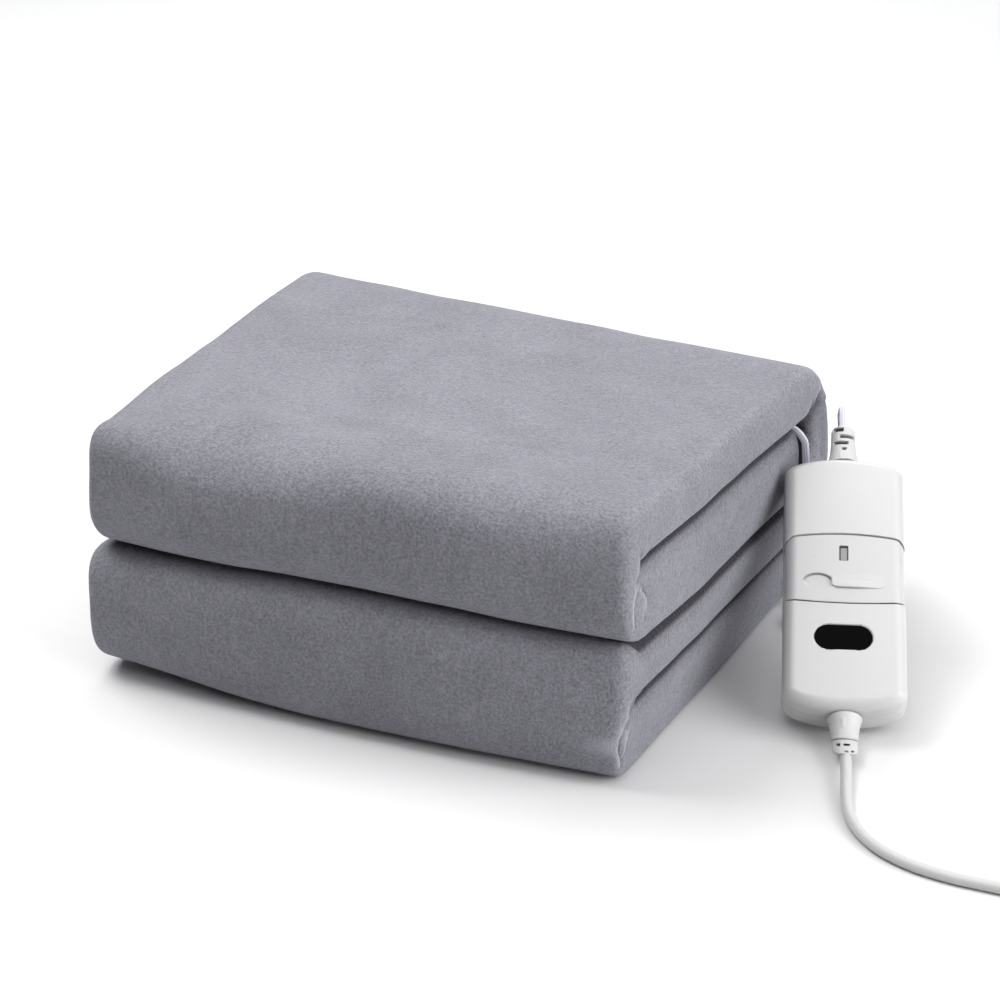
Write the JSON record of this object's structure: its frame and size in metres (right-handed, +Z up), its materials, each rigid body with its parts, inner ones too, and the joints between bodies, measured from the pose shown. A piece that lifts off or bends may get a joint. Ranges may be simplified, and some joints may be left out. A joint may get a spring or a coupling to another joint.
{
  "type": "folded electric heated blanket with hand controller",
  "caption": "Plush electric heated throw folded into a thick square stack, with a white hand controller leaning on its side, a lead, and a coiled mains cord with plug.",
  "frame": {"origin": "middle of the footprint of the folded throw and its controller together, on the surface they rest on", "axes": "+X to the right along the front of the stack, +Y from its front folds to its back, +Z up"},
  "size_m": [0.7398, 0.4126, 0.1805],
  "materials": {
    "plush": "short brushed pile, blue-grey",
    "white_plastic": "satin white moulding",
    "grey_plastic": "satin grey moulding",
    "dark_window": "glossy black display window",
    "white_rubber": "soft matte white",
    "lead_sheath": "matte white with a faint lavender tint",
    "tie_tape": "black hook-and-loop tape",
    "plated_brass": "nickel-plated"
  },
  "bodies": {
    "throw": {"blanket": "plush", "base_shell": "white_plastic", "top_cover": "white_plastic", "middle_panel": "white_plastic", "lower_cover": "white_plastic", "display_window": "dark_window", "level_flag": "grey_plastic", "upper_boot": "white_rubber", "lower_boot": "white_rubber", "lead_sleeve": "lead_sheath", "lead_cord": "lead_sheath", "mains_cord": "white_rubber", "mains_coil": "white_rubber", "coil_tie": "tie_tape", "mains_tail": "white_rubber", "plug_boot": "white_rubber", "plug_body": "white_plastic", "plug_blade_left": "plated_brass", "plug_blade_right": "plated_brass"},
    "slider": {"level_slider": "white_plastic"}
  },
  "joints": [
    {"name": "level_slide", "type": "slide", "parent": "throw", "child": "slider", "axis": [-0.9511, -0.309, 0], "range_m": [0, 0.016]}
  ]
}
